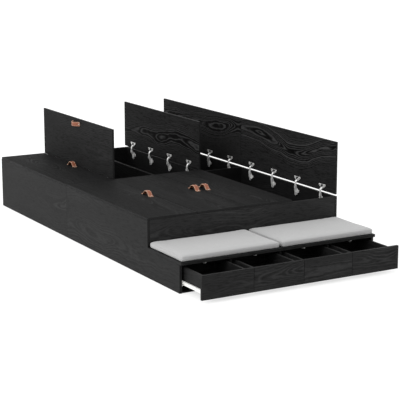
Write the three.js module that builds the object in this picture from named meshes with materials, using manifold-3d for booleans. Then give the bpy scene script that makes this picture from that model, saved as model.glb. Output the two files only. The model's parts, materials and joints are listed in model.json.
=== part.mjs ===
// Platform bed for a 1200 x 2000 mm mattress, with eight lift-up storage lids and a low
// foot bench that carries two cushions and four drawers.  Millimetres, +Z up.
// Bed coordinates run X across the bed from its left side, Y from the platform's foot
// panel to the head, Z up from the floor.  The last group moves them so that the origin
// is on the floor under the middle of the whole object.

import * as THREE from 'three';
import { mergeVertices } from 'three/addons/utils/BufferGeometryUtils.js';
import Module from 'manifold-3d';

const wasm = await Module();
wasm.setup();

// ---------------------------------------------------------------- driving dimensions
const WIDTH = 1200;              // outside width of the bed
const LENGTH = 2010;             // platform length, foot panel to head panel
const BODY_TOP = 306;            // top edge of the boards that carry the lids
const BOARD = 15;                // carcass board thickness
const GAP = 0.3;                 // clearance between boards that butt together
const BASE_T = 9;                // thickness of the bottom boards

const LID_T = 12;                // lid thickness
const LID_REST = 0.3;            // lid underside above the carcass when shut
const LID_EDGE = 1.5;            // lid edge set in from its cell on each side
const PIVOT_DROP = 0.9;          // hinge centre below the lid's upper face
const PIVOT_IN = 1.9;            // hinge centre inward from the edge of the lid's cell
const LID_OPEN = Math.PI / 2;    // opening of the raised lids

const CUP_FROM_EDGE = 22;        // hinge cup centre from the lid's hinged edge
const CUP_R = 17.2;              // hinge cup radius
const CUP_POCKET_R = 17.5;       // its pocket in the lid
const CUP_POCKET_DEPTH = 10;
const HINGES_PER_LID = 4;
const ARM_W = 12;                // hinge arm width
const PLATE_W = 48;              // hinge mounting plate width
const LINK_DROP = 38;            // strip that joins a set of hinge arms, below the top edge

const STRAP_W = 26;              // pull strap width
const STRAP_T = 3.5;             // pull strap thickness
const STRAP_HALF = 53;           // half of its length along the lid
const STRAP_RISE = 23;           // height of the bow
const STRAP_FROM_EDGE = 32;      // strap centre from the lid's free edge

const BENCH_TOP = 163;           // top face of the bench
const BENCH_FRONT = -356;        // front edge of the bench top
const SIDE_FRONT = -340;         // front edge of the side boards
const FRONT_Z0 = 20;             // drawer front, lower edge
const FRONT_Z1 = 146;            // drawer front, upper edge
const FRONT_SEAM = 1;            // half of the seam between drawer fronts
const PULLED = 204;              // how far the drawers are drawn out
const DRAWER_DEPTH = 320;        // length of a drawer box
const DRAWER_Z0 = 62;            // underside of a drawer side
const DRAWER_Z1 = 133;           // top edge of a drawer side
const DRAWER_SIDE = 12;          // thickness of a drawer side
const DRAWER_BOTTOM = 5;
const RUNNER_SPACE = 12.5;       // side clearance that the runners fill
const ROLLER_R = 7;

const CUSHION_T = 32;            // cushion thickness
const CUSHION_IN = 2;            // cushion edge inside the bench's outer edge
const CUSHION_MID = 2;           // half of the slit between the cushions
const CUSHION_R = 16;            // plan corner radius

const CELL = WIDTH / 4;
const HALF = LENGTH / 2;
const LID_W = CELL - 2 * LID_EDGE;
const LID_L = HALF - 2 * LID_EDGE;
const PIVOT_Z = BODY_TOP + LID_REST + LID_T - PIVOT_DROP;
const LINK_Z = BODY_TOP - LINK_DROP;

// ---------------------------------------------------------------- finishes
const FINISH = {
  wood: { color: 0x2c2c2d, roughness: 0.55, metalness: 0.0 },
  wood_lid: { color: 0x323233, roughness: 0.5, metalness: 0.0 },
  steel: { color: 0xb9bbbd, roughness: 0.32, metalness: 0.9 },
  runner: { color: 0xf1f1ee, roughness: 0.4, metalness: 0.1 },
  leather: { color: 0xb8693f, roughness: 0.6, metalness: 0.0 },
  fabric: { color: 0xbcbcbc, roughness: 0.95, metalness: 0.0 },
};

// ---------------------------------------------------------------- geometry helpers
function boxG(x0, x1, y0, y1, z0, z1) {
  const g = new THREE.BoxGeometry(x1 - x0, y1 - y0, z1 - z0);
  g.translate((x0 + x1) / 2, (y0 + y1) / 2, (z0 + z1) / 2);
  return g;
}

function outline(points) {
  return new THREE.Shape(points.map(([a, b]) => new THREE.Vector2(a, b)));
}

function prism(points, depth) {
  return new THREE.ExtrudeGeometry(outline(points), { depth, bevelEnabled: false, steps: 1 });
}

// outline given as [y, z], swept from x0 to x1
function prismX(points, x0, x1) {
  const g = prism(points, x1 - x0);
  g.applyMatrix4(new THREE.Matrix4().makeBasis(
    new THREE.Vector3(0, 1, 0), new THREE.Vector3(0, 0, 1), new THREE.Vector3(1, 0, 0)));
  g.translate(x0, 0, 0);
  return g;
}

// outline given as [x, z], swept from y0 to y1
function prismY(points, y0, y1) {
  const g = prism(points, y1 - y0);
  g.applyMatrix4(new THREE.Matrix4().makeBasis(
    new THREE.Vector3(1, 0, 0), new THREE.Vector3(0, 0, 1), new THREE.Vector3(0, -1, 0)));
  g.translate(0, y1, 0);
  return g;
}

// round bar along Z from z0 to z1
function barZ(x, y, z0, z1, r, sides) {
  const g = new THREE.CylinderGeometry(r, r, z1 - z0, sides);
  g.rotateX(Math.PI / 2);
  g.translate(x, y, (z0 + z1) / 2);
  return g;
}

// round bar along X from x0 to x1
function barX(y, z, x0, x1, r, sides) {
  const g = new THREE.CylinderGeometry(r, r, x1 - x0, sides);
  g.rotateZ(Math.PI / 2);
  g.translate((x0 + x1) / 2, y, z);
  return g;
}

function solid(geometry) {
  const bare = geometry.clone();
  bare.deleteAttribute('normal');
  bare.deleteAttribute('uv');
  const g = mergeVertices(bare, 1e-4);
  return new wasm.Manifold(new wasm.Mesh({
    numProp: 3,
    vertProperties: new Float32Array(g.attributes.position.array),
    triVerts: new Uint32Array(g.index.array),
  }));
}

function surface(manifold) {
  const m = manifold.getMesh();
  const g = new THREE.BufferGeometry();
  const xyz = new Float32Array((m.vertProperties.length / m.numProp) * 3);
  for (let i = 0, j = 0; i < m.vertProperties.length; i += m.numProp) {
    xyz[j++] = m.vertProperties[i];
    xyz[j++] = m.vertProperties[i + 1];
    xyz[j++] = m.vertProperties[i + 2];
  }
  g.setAttribute('position', new THREE.BufferAttribute(xyz, 3));
  g.setIndex(new THREE.BufferAttribute(new Uint32Array(m.triVerts), 1));
  g.computeVertexNormals();
  return g;
}

function joined(geometries) {
  let s = solid(geometries[0]);
  for (const g of geometries.slice(1)) s = s.add(solid(g));
  return s;
}

function cut(manifold, geometries) {
  let s = manifold;
  for (const g of geometries) s = s.subtract(solid(g));
  return s;
}

const bed = new THREE.Group();

function add(name, geometry, finish, parent = bed) {
  const mesh = new THREE.Mesh(geometry, new THREE.MeshStandardMaterial(FINISH[finish]));
  mesh.name = name;
  parent.add(mesh);
  return mesh;
}

// ---------------------------------------------------------------- platform carcass
const bodyIn0 = BOARD + GAP;
const bodyIn1 = WIDTH - BOARD - GAP;

for (const [side, x0] of [['left', 0], ['right', WIDTH - BOARD]]) {
  add(`side_${side}_head`, boxG(x0, x0 + BOARD, HALF + GAP / 2, LENGTH, 0, BODY_TOP), 'wood');
  // the foot half of the side is one stepped board that runs on under the bench top
  const step = BENCH_TOP - BOARD - GAP;
  add(`side_${side}_foot`, prismX([
    [SIDE_FRONT, 0], [HALF - GAP / 2, 0], [HALF - GAP / 2, BODY_TOP],
    [0, BODY_TOP], [0, step], [SIDE_FRONT, step],
  ], x0, x0 + BOARD), 'wood');
}
add('head_panel', boxG(bodyIn0, bodyIn1, LENGTH - BOARD, LENGTH, 0, BODY_TOP), 'wood');
add('foot_panel', boxG(bodyIn0, bodyIn1, 0, BOARD, 0, BODY_TOP), 'wood');
add('base_panel_foot', boxG(bodyIn0, bodyIn1, BOARD + GAP, HALF - GAP / 2, 0, BASE_T), 'wood');
add('base_panel_head', boxG(bodyIn0, bodyIn1, HALF + GAP / 2, LENGTH - BOARD - GAP, 0, BASE_T), 'wood');

// lengthwise partitions, notched from above where the cross panel passes
const partZ0 = BASE_T + GAP;
const lapZ = (partZ0 + BODY_TOP) / 2;
const crossY0 = HALF - BOARD / 2;
const crossY1 = HALF + BOARD / 2;
const partitionNames = ['partition_left', 'partition_middle', 'partition_right'];
for (let i = 0; i < 3; i++) {
  const c = CELL * (i + 1);
  add(partitionNames[i], prismX([
    [BOARD + GAP, partZ0], [LENGTH - BOARD - GAP, partZ0], [LENGTH - BOARD - GAP, BODY_TOP],
    [crossY1 + GAP, BODY_TOP], [crossY1 + GAP, lapZ], [crossY0 - GAP, lapZ],
    [crossY0 - GAP, BODY_TOP], [BOARD + GAP, BODY_TOP],
  ], c - BOARD / 2, c + BOARD / 2), 'wood');
}

// where the boards that carry hinges have their inner faces: board face, cell edge, direction
const hingeBoards = [
  { name: 'left_side', face: BOARD, edge: 0, dir: 1 },
  { name: 'left_partition', face: CELL + BOARD / 2, edge: CELL, dir: 1 },
  { name: 'right_partition', face: 3 * CELL - BOARD / 2, edge: 3 * CELL, dir: -1 },
  { name: 'right_side', face: WIDTH - BOARD, edge: WIDTH, dir: -1 },
];

// cross panel, notched from below over the partitions, with a slot beside each hinge board
const crossOutline = [[bodyIn0, partZ0]];
for (let i = 1; i <= 3; i++) {
  const a = CELL * i - BOARD / 2 - GAP;
  const b = CELL * i + BOARD / 2 + GAP;
  crossOutline.push([a, partZ0], [a, lapZ + GAP], [b, lapZ + GAP], [b, partZ0]);
}
crossOutline.push([bodyIn1, partZ0], [bodyIn1, BODY_TOP], [bodyIn0, BODY_TOP]);
add('cross_panel', surface(cut(joined([prismY(crossOutline, crossY0, crossY1)]),
  hingeBoards.map((b) => {
    const xs = [b.face - b.dir * 1, b.face + b.dir * 2.3];
    return boxG(Math.min(...xs), Math.max(...xs), crossY0 - 1, crossY1 + 1, LINK_Z - 1, LINK_Z + 2.5);
  }))), 'wood');

// ---------------------------------------------------------------- foot bench carcass
add('bench_top', boxG(0, WIDTH, BENCH_FRONT, -GAP, BENCH_TOP - BOARD, BENCH_TOP), 'wood');
add('bench_base', boxG(bodyIn0, bodyIn1, SIDE_FRONT + 4, -GAP, 0, BASE_T), 'wood');
const benchNames = ['bench_partition_left', 'bench_partition_middle', 'bench_partition_right'];
for (let i = 0; i < 3; i++) {
  const c = CELL * (i + 1);
  add(benchNames[i], boxG(c - BOARD / 2, c + BOARD / 2, SIDE_FRONT, -3,
    BASE_T + GAP, BENCH_TOP - BOARD - GAP), 'wood');
}

// ---------------------------------------------------------------- lids
const columns = [
  { name: 'left', edge: 0, dir: 1, open: { head: false, foot: false } },
  { name: 'inner_left', edge: CELL, dir: 1, open: { head: true, foot: false } },
  { name: 'inner_right', edge: 3 * CELL, dir: -1, open: { head: true, foot: false } },
  { name: 'right', edge: WIDTH, dir: -1, open: { head: true, foot: true } },
];
const hingeV = [];
for (let k = 0; k < HINGES_PER_LID; k++) hingeV.push(((k + 0.5) / HINGES_PER_LID - 0.5) * LID_L);

// In a lid's own frame the origin is the hinge centre at the lid's mid-length, X runs
// from the hinged edge to the free edge, and Z is up when the lid is shut.
const lidTop = PIVOT_DROP;
const lidUnder = PIVOT_DROP - LID_T;
const edgeX = LID_EDGE - PIVOT_IN;
const cupX = edgeX + CUP_FROM_EDGE;

function lidPanel() {
  const pockets = hingeV.map((v) => barZ(cupX, v, lidUnder - 2, lidUnder + CUP_POCKET_DEPTH, CUP_POCKET_R, 12));
  return surface(cut(solid(boxG(edgeX, edgeX + LID_W, -LID_L / 2, LID_L / 2, lidUnder, lidTop)), pockets));
}

// four hinge cups with their screw wings, held to one another by a thin strip
function hingeCups() {
  const parts = [];
  for (const v of hingeV) {
    parts.push(barZ(cupX, v, lidUnder + 0.2, lidUnder + CUP_POCKET_DEPTH - 0.5, CUP_R, 12));
    parts.push(barZ(cupX, v, lidUnder - 1, lidUnder + 1, 7.5, 8));
    parts.push(boxG(cupX - 6.5, cupX + 13.5, v - 26, v + 26, lidUnder - 1.3, lidUnder - GAP));
  }
  parts.push(boxG(cupX + 9.5, cupX + 11, hingeV[0], hingeV[hingeV.length - 1], lidUnder - 1.3, lidUnder - GAP));
  return surface(joined(parts));
}

// bowed pull strap: its two flat ends lie on the lid and its middle stands up
function strap() {
  const rise = (v) => {
    const t = Math.min(1, Math.max(0, (STRAP_HALF - 13 - Math.abs(v)) / 30));
    return STRAP_RISE * t * t * (3 - 2 * t);
  };
  const half = [4, 10, 14.5, 20, 25.5, 31, 36, 40, STRAP_HALF];
  const stations = [...half.map((v) => -v).reverse(), ...half];
  const lower = stations.map((v) => [v, rise(v)]);
  const upper = stations.map((v) => {
    const slope = (rise(v + 0.5) - rise(v - 0.5)) / 1.0;
    const n = Math.hypot(1, slope);
    return [v - (STRAP_T * slope) / n, rise(v) + STRAP_T / n];
  }).reverse();
  const base = lidTop + GAP;
  const pts = [...lower, ...upper].map(([v, w]) => [v, w + base]);
  const u = edgeX + LID_W - STRAP_FROM_EDGE;
  return prismX(pts, u - STRAP_W / 2, u + STRAP_W / 2);
}

for (const column of columns) {
  for (const [part, mid] of [['foot', HALF / 2], ['head', HALF * 1.5]]) {
    const place = new THREE.Group();
    place.position.set(column.edge + column.dir * PIVOT_IN, mid, PIVOT_Z);
    if (column.dir < 0) place.rotation.z = Math.PI;
    const swing = new THREE.Group();
    if (column.open[part]) swing.rotation.y = -LID_OPEN;
    place.add(swing);
    bed.add(place);
    const id = `lid_${column.name}_${part}`;
    add(`${id}_panel`, lidPanel(), 'wood_lid', swing);
    add(`${id}_hinge_cups`, hingeCups(), 'steel', swing);
    add(`${id}_strap`, strap(), 'leather', swing);
  }
}

// hinge arms with their mounting plates, a set on each board that carries lids
for (const b of hingeBoards) {
  const X = (u) => b.edge + b.dir * u;               // u: distance inward from the lid's cell edge
  const uf = Math.abs(b.face - b.edge);              // board face
  const bx = (u0, u1, y0, y1, z0, z1) => boxG(Math.min(X(u0), X(u1)), Math.max(X(u0), X(u1)), y0, y1, z0, z1);
  const T = BODY_TOP;
  const parts = [];
  const ys = [];
  for (const mid of [HALF / 2, HALF * 1.5]) for (const v of hingeV) ys.push(mid + v);
  for (const y of ys) {
    parts.push(bx(uf + GAP, uf + 2.1, y - PLATE_W / 2, y + PLATE_W / 2, T - 52, T - 20));
    parts.push(prismY([
      [uf + 1.6, T - 60], [uf + 11, T - 60], [uf + 13, T - 38], [31, T - 17],
      [31, T - 3], [19, T - 3], [uf + 1.6, T - 19],
    ].map(([u, z]) => [X(u), z]), y - ARM_W / 2, y + ARM_W / 2));
  }
  parts.push(bx(uf + GAP, uf + 1.8, ys[0], ys[ys.length - 1], LINK_Z, LINK_Z + 1.5));
  add(`hinge_arms_${b.name}`, surface(joined(parts)), 'steel');
}

// ---------------------------------------------------------------- drawers
const bays = [0, 1, 2, 3].map((i) => [
  i === 0 ? BOARD : CELL * i + BOARD / 2,
  i === 3 ? WIDTH - BOARD : CELL * (i + 1) - BOARD / 2,
]);
const drawerNames = ['left', 'inner_left', 'inner_right', 'right'];
const frontBack = SIDE_FRONT - 1 - PULLED;           // rear face of a drawer front as drawn out
const boxY0 = frontBack + GAP;
const boxY1 = boxY0 + DRAWER_DEPTH;

for (let i = 0; i < 4; i++) {
  const [x0, x1] = bays[i];
  const id = `drawer_${drawerNames[i]}`;
  add(`${id}_front`, boxG(CELL * i + FRONT_SEAM, CELL * (i + 1) - FRONT_SEAM,
    frontBack - BOARD, frontBack, FRONT_Z0, FRONT_Z1), 'wood');
  const b0 = x0 + RUNNER_SPACE;
  const b1 = x1 - RUNNER_SPACE;
  add(`${id}_box`, surface(cut(solid(boxG(b0, b1, boxY0, boxY1, DRAWER_Z0, DRAWER_Z1)), [
    boxG(b0 + DRAWER_SIDE, b1 - DRAWER_SIDE, boxY0 - 5, boxY1 - DRAWER_SIDE,
      DRAWER_Z0 + DRAWER_BOTTOM, DRAWER_Z1 + 5),
  ])), 'wood');

  // moving runner members: flange under each drawer side, leg outside it, roller at the rear
  const members = [];
  for (const [wall, dir] of [[x0, 1], [x1, -1]]) {
    const X = (u) => wall + dir * u;
    members.push(prismY([
      [3, 60.2], [8.5, 60.2], [8.5, 43], [10, 43], [10, 60.2], [23.5, 60.2], [23.5, 61.7], [3, 61.7],
    ].map(([u, z]) => [X(u), z]), boxY0, boxY1));
    const a = X(3.2);
    const b = X(9);
    members.push(barX(boxY1 - 12, 39.5 + GAP + ROLLER_R, Math.min(a, b), Math.max(a, b), ROLLER_R, 10));
  }
  members.push(boxG(x0 + 23, x1 - 23, boxY1 - 1.5, boxY1, 60.2, 61.7));
  add(`${id}_runners`, surface(joined(members)), 'runner');
}

// fixed runner members on the bench's boards, joined by one thin tie behind the partitions
const rails = [];
for (const [x0, x1] of bays) {
  for (const [wall, dir] of [[x0, 1], [x1, -1]]) {
    const X = (u) => wall + dir * u;
    rails.push(prismY([
      [GAP, 38], [7.2, 38], [7.2, 39.5], [1.8, 39.5], [1.8, 64.5], [4.5, 64.5], [4.5, 66], [GAP, 66],
    ].map(([u, z]) => [X(u), z]), SIDE_FRONT + 0.5, -1));
    const a = X(1);
    const b = X(7.4);
    rails.push(barX(SIDE_FRONT + 12, 60.2 - GAP - ROLLER_R, Math.min(a, b), Math.max(a, b), ROLLER_R, 10));
  }
}
rails.push(boxG(BOARD + 1, WIDTH - BOARD - 1, -2.4, -1, 38, 39.5));
add('bench_runner_rails', surface(joined(rails)), 'runner');

// ---------------------------------------------------------------- bench cushions
function cushion(x0, x1, y0, y1, z0, z1) {
  const s = new THREE.Shape();
  const r = CUSHION_R;
  s.moveTo(x0 + r, y0);
  s.lineTo(x1 - r, y0);
  s.absarc(x1 - r, y0 + r, r, -Math.PI / 2, 0, false);
  s.lineTo(x1, y1 - r);
  s.absarc(x1 - r, y1 - r, r, 0, Math.PI / 2, false);
  s.lineTo(x0 + r, y1);
  s.absarc(x0 + r, y1 - r, r, Math.PI / 2, Math.PI, false);
  s.lineTo(x0, y0 + r);
  s.absarc(x0 + r, y0 + r, r, Math.PI, Math.PI * 1.5, false);
  const g = new THREE.ExtrudeGeometry(s, { depth: z1 - z0, bevelEnabled: false, curveSegments: 4, steps: 1 });
  g.translate(0, 0, z0);
  return g;
}
const cz0 = BENCH_TOP + GAP;
const cz1 = cz0 + CUSHION_T;
add('cushion_left', cushion(CUSHION_IN, WIDTH / 2 - CUSHION_MID, BENCH_FRONT + 3, -2, cz0, cz1), 'fabric');
add('cushion_right', cushion(WIDTH / 2 + CUSHION_MID, WIDTH - CUSHION_IN, BENCH_FRONT + 3, -2, cz0, cz1), 'fabric');

// ---------------------------------------------------------------- origin under the middle
// the straps of the raised right-hand lids stand out past the bed's right side
const frontY = frontBack - BOARD;
const strapOut = lidTop - PIVOT_IN + GAP + STRAP_RISE + STRAP_T;
bed.position.set(-(WIDTH + strapOut) / 2, -(LENGTH + frontY) / 2, 0);
const model = new THREE.Group();
model.add(bed);

export default model;
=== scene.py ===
import json
import math
import random

import bmesh
import bpy
import numpy as np
from mathutils import Matrix, Vector
from mathutils.bvhtree import BVHTree

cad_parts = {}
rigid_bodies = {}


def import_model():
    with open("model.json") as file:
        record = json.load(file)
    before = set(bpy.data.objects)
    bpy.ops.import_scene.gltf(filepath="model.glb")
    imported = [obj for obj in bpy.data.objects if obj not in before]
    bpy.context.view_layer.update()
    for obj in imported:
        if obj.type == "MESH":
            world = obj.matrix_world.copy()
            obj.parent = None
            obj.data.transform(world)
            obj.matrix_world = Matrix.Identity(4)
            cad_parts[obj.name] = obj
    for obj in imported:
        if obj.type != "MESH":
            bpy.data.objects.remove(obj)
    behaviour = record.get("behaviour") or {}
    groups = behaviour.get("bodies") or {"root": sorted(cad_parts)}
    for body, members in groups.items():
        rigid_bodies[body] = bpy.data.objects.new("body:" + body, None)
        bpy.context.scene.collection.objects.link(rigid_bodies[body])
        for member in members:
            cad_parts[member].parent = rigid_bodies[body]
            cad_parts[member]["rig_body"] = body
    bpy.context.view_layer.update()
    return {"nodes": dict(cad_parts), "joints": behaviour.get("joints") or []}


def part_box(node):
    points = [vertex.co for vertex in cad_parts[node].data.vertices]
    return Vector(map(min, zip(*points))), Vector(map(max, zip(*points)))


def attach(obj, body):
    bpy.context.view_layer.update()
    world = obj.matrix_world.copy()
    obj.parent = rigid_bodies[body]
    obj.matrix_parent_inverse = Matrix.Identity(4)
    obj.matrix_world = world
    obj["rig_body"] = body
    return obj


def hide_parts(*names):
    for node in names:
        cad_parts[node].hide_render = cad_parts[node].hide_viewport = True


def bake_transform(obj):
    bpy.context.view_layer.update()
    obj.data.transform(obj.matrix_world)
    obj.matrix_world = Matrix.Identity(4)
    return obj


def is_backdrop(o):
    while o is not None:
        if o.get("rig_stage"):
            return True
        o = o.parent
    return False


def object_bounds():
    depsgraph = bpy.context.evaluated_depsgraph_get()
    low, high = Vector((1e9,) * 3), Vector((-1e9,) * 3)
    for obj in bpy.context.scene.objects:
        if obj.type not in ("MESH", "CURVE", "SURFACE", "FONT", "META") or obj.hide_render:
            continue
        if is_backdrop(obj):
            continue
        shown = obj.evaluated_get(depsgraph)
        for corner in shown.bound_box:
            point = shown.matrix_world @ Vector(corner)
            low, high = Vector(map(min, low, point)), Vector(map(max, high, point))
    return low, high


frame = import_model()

MM = 0.001
scene = bpy.context.scene
NODES = frame["nodes"]
JOINTS = {j["name"]: j for j in frame["joints"]}


# ------------------------------------------------------------------ camera and light
cam_data = bpy.data.cameras.new("camera")
camera = bpy.data.objects.new("camera", cam_data)
scene.collection.objects.link(camera)
camera.location = (-3.72126, -6.64989, 1.87845)
camera.rotation_euler = (math.radians(90 - 12.343), 0, -math.radians(30.011))
cam_data.sensor_width = 36
cam_data.lens = 119.82
cam_data.clip_end = 100
scene.camera = camera

scene.view_settings.view_transform = "Standard"

world = bpy.data.worlds.new("studio")
scene.world = world
world.use_nodes = True
world.node_tree.nodes["Background"].inputs["Color"].default_value = (1, 1, 1, 1)
world.node_tree.nodes["Background"].inputs["Strength"].default_value = 1.04


def area_light(name, at, aim, size, power, tint=(1, 1, 1)):
    data = bpy.data.lights.new(name, "AREA")
    data.shape = "RECTANGLE"
    data.size, data.size_y = size
    data.energy = power
    data.color = tint
    o = bpy.data.objects.new(name, data)
    scene.collection.objects.link(o)
    o.location = at
    o.rotation_euler = (Vector(aim) - Vector(at)).to_track_quat("-Z", "Y").to_euler()
    return o


area_light("key", (-5.0, -1.5, 3.6), (0, 0, 0.2), (4.0, 3.0), 150)
area_light("fill", (2.5, -5.5, 3.2), (0, -0.4, 0.2), (4.0, 2.5), 40)
area_light("head", (-1.5, 5.0, 3.5), (0.2, 0.6, 0.3), (3.0, 2.0), 60)


# ------------------------------------------------------------------ node helpers
class Tree:
    def __init__(self, name):
        self.mat = bpy.data.materials.new(name)
        self.mat.use_nodes = True
        self.t = self.mat.node_tree
        self.n, self.l = self.t.nodes, self.t.links
        self.bsdf = self.n["Principled BSDF"]

    def node(self, kind, **props):
        made = self.n.new(kind)
        for k, v in props.items():
            setattr(made, k, v)
        return made

    def link(self, a, b):
        self.l.new(a, b)

    def value(self, socket, v):
        if hasattr(v, "is_output") or isinstance(v, bpy.types.NodeSocket):
            self.l.new(v, socket)
        else:
            socket.default_value = v

    def math(self, op, a, b=0.0, c=0.0, clamp=False):
        m = self.node("ShaderNodeMath", operation=op, use_clamp=clamp)
        self.value(m.inputs[0], a)
        self.value(m.inputs[1], b)
        self.value(m.inputs[2], c)
        return m.outputs[0]

    def vec(self, op, a, b=(0, 0, 0)):
        m = self.node("ShaderNodeVectorMath", operation=op)
        self.value(m.inputs[0], a)
        self.value(m.inputs[1], b)
        return m.outputs[0]

    def noise(self, vector, scale=1.0, detail=2.0, rough=0.5, distort=0.0):
        m = self.node("ShaderNodeTexNoise")
        self.link(vector, m.inputs["Vector"])
        m.inputs["Scale"].default_value = scale
        m.inputs["Detail"].default_value = detail
        m.inputs["Roughness"].default_value = rough
        m.inputs["Distortion"].default_value = distort
        return m.outputs["Fac"]

    def ramp(self, fac, stops, mode="LINEAR"):
        m = self.node("ShaderNodeValToRGB")
        m.color_ramp.interpolation = mode
        e = m.color_ramp.elements
        while len(e) < len(stops):
            e.new(0.5)
        for i, (p, c) in enumerate(stops):
            e[i].position = p
            e[i].color = (*c, 1) if len(c) == 3 else c
        self.link(fac, m.inputs["Fac"])
        return m.outputs["Color"]

    def mix(self, fac, a, b, mode="MIX"):
        m = self.node("ShaderNodeMix", data_type="RGBA", blend_type=mode)
        self.value(m.inputs["Factor"], fac)
        self.value(m.inputs["A"], a if not isinstance(a, tuple) or len(a) == 4 else (*a, 1))
        self.value(m.inputs["B"], b if not isinstance(b, tuple) or len(b) == 4 else (*b, 1))
        return m.outputs["Result"]

    def bump(self, height, distance, strength=1.0, normal=None):
        m = self.node("ShaderNodeBump")
        m.inputs["Strength"].default_value = strength
        m.inputs["Distance"].default_value = distance
        self.link(height, m.inputs["Height"])
        if normal is not None:
            self.link(normal, m.inputs["Normal"])
        return m.outputs["Normal"]


def grey(v):
    return (v, v, v * 1.01)


# ------------------------------------------------------------------ materials
def wood(name, along, seed, pith, dark, light, figure, spec, rough, plain=0.3, dash=0.16, spacing=0.0085, wander=0.05,
         early_dark=0.20, cloudy=0.2, fibres=0.5, band=None):
    """Black-stained open-grained veneer. Its figure is what a flat saw cut shows of a log: rings round a
    pith line that runs beside the board and wanders along its length, so they close into arches and loops."""
    t = Tree(name)
    tc = t.node("ShaderNodeTexCoord")
    sep = t.node("ShaderNodeSeparateXYZ")
    t.link(tc.outputs["Object"], sep.inputs[0])
    com = t.node("ShaderNodeCombineXYZ")
    order = {"X": (0, 1, 2), "Y": (1, 0, 2), "Z": (2, 0, 1)}[along]
    for k, j in enumerate(order):
        t.link(sep.outputs[j], com.inputs[k])
    base = t.vec("ADD", com.outputs[0], (seed * 3.17, seed * 1.73 + 0.31, seed * 2.11))
    offsets = t.vec("SUBTRACT", com.outputs[0], (0.0, pith[0], pith[1]))
    osep = t.node("ShaderNodeSeparateXYZ")
    t.link(offsets, osep.inputs[0])

    drift_a = t.noise(t.vec("MULTIPLY", base, (1.5, 0.3, 0.3)), detail=1.0, rough=0.4)
    drift_b = t.noise(t.vec("MULTIPLY", t.vec("ADD", base, (7.3, 1.9, 4.1)), (1.9, 0.3, 0.3)), detail=1.5, rough=0.5)
    fold = t.noise(t.vec("MULTIPLY", base, (4.2, 9.0, 9.0)), detail=1.5, rough=0.5)
    waver = t.noise(t.vec("MULTIPLY", base, (16.0, 62.0, 62.0)), detail=2.0, rough=0.6)
    dq = t.math("ADD", osep.outputs[1], t.math("MULTIPLY", t.math("SUBTRACT", drift_a, 0.5), 2.6 * wander))
    ds = t.math("ADD", osep.outputs[2], t.math("MULTIPLY", t.math("SUBTRACT", drift_b, 0.5), 4.4 * wander))
    dist = t.math("SQRT", t.math("ADD", t.math("MULTIPLY", dq, dq), t.math("MULTIPLY", ds, ds)))
    dist = t.math("ADD", dist, t.math("MULTIPLY", t.math("SUBTRACT", fold, 0.5), 0.030))
    # wide and narrow years
    year = t.node("ShaderNodeTexNoise", noise_dimensions="1D")
    t.link(t.math("ADD", dist, seed), year.inputs["W"])
    year.inputs["Scale"].default_value = 46
    year.inputs["Detail"].default_value = 2.0
    phase = t.math("ADD", t.math("MULTIPLY", dist, 1.0 / spacing), t.math("MULTIPLY", waver, 0.8))
    phase = t.math("ADD", phase, t.math("MULTIPLY", year.outputs["Fac"], 3.2))
    ring = t.math("MULTIPLY", t.math("PINGPONG", phase, 0.5), 2.0)
    late = t.ramp(ring, [(0.0, (0, 0, 0)), (0.30, (0.04,) * 3), (0.62, (0.45,) * 3), (0.88, (1, 1, 1))])

    # the figure comes and goes over the board
    patch = t.noise(t.vec("MULTIPLY", base, (1.3, 7.0, 7.0)), detail=1.5, rough=0.5)
    if band is None:
        strength = t.ramp(patch, [(0.42, (0.14,) * 3), (0.60, (1, 1, 1))])
    else:
        # it is bold in a band beside the pith line, where the cut runs flat to the rings, and plain beyond
        near = t.math("ADD", dist, t.math("MULTIPLY", t.math("SUBTRACT", patch, 0.5), 0.05))
        strength = t.ramp(near, [(band[0], (1, 1, 1)), (band[1], (0.10,) * 3)])
    drawn = t.math("MULTIPLY", late, strength)
    vessel = t.noise(t.vec("MULTIPLY", base, (26.0, 190.0, 190.0)), detail=1.5, rough=0.5)
    vessels = t.ramp(vessel, [(0.52, (0, 0, 0)), (0.64, (1, 1, 1))])
    early = t.math("MULTIPLY", t.math("SUBTRACT", 1.0, late), strength)

    # fibres and open pores
    fibre = t.noise(t.vec("MULTIPLY", base, (9.0, 330.0, 330.0)), detail=3.0, rough=0.6)
    pore = t.noise(t.vec("MULTIPLY", base, (34.0, 900.0, 900.0)), detail=1.0, rough=0.5)
    pores = t.ramp(pore, [(0.56, (0, 0, 0)), (0.66, (1, 1, 1))])
    cloud = t.noise(t.vec("MULTIPLY", base, (1.5, 6.0, 6.0)), detail=2.0)

    lum = t.math("SUBTRACT", t.math("MULTIPLY", drawn, figure), t.math("MULTIPLY", early, figure * early_dark))
    lum = t.math("ADD", lum, t.math("MULTIPLY", t.math("SUBTRACT", fibre, 0.5), fibres))
    lum = t.math("ADD", lum, t.math("MULTIPLY", t.math("SUBTRACT", cloud, 0.5), cloudy))
    lum = t.math("SUBTRACT", lum, t.math("MULTIPLY", vessels, dash))
    lum = t.math("ADD", lum, plain)
    lum = t.math("SUBTRACT", lum, t.math("MULTIPLY", pores, 0.2), clamp=True)
    t.link(t.mix(lum, grey(dark), grey(light)), t.bsdf.inputs["Base Color"])

    r = t.math("ADD", t.math("MULTIPLY", fibre, 0.16), rough - 0.08)
    r = t.math("SUBTRACT", r, t.math("MULTIPLY", drawn, 0.08))
    t.link(r, t.bsdf.inputs["Roughness"])
    t.bsdf.inputs["Specular IOR Level"].default_value = spec

    height = t.math("ADD", t.math("MULTIPLY", drawn, 0.4), t.math("MULTIPLY", fibre, 0.5))
    height = t.math("SUBTRACT", height, t.math("MULTIPLY", pores, 0.55))
    t.link(t.bump(height, 0.0004, 0.5), t.bsdf.inputs["Normal"])
    return t.mat


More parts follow.
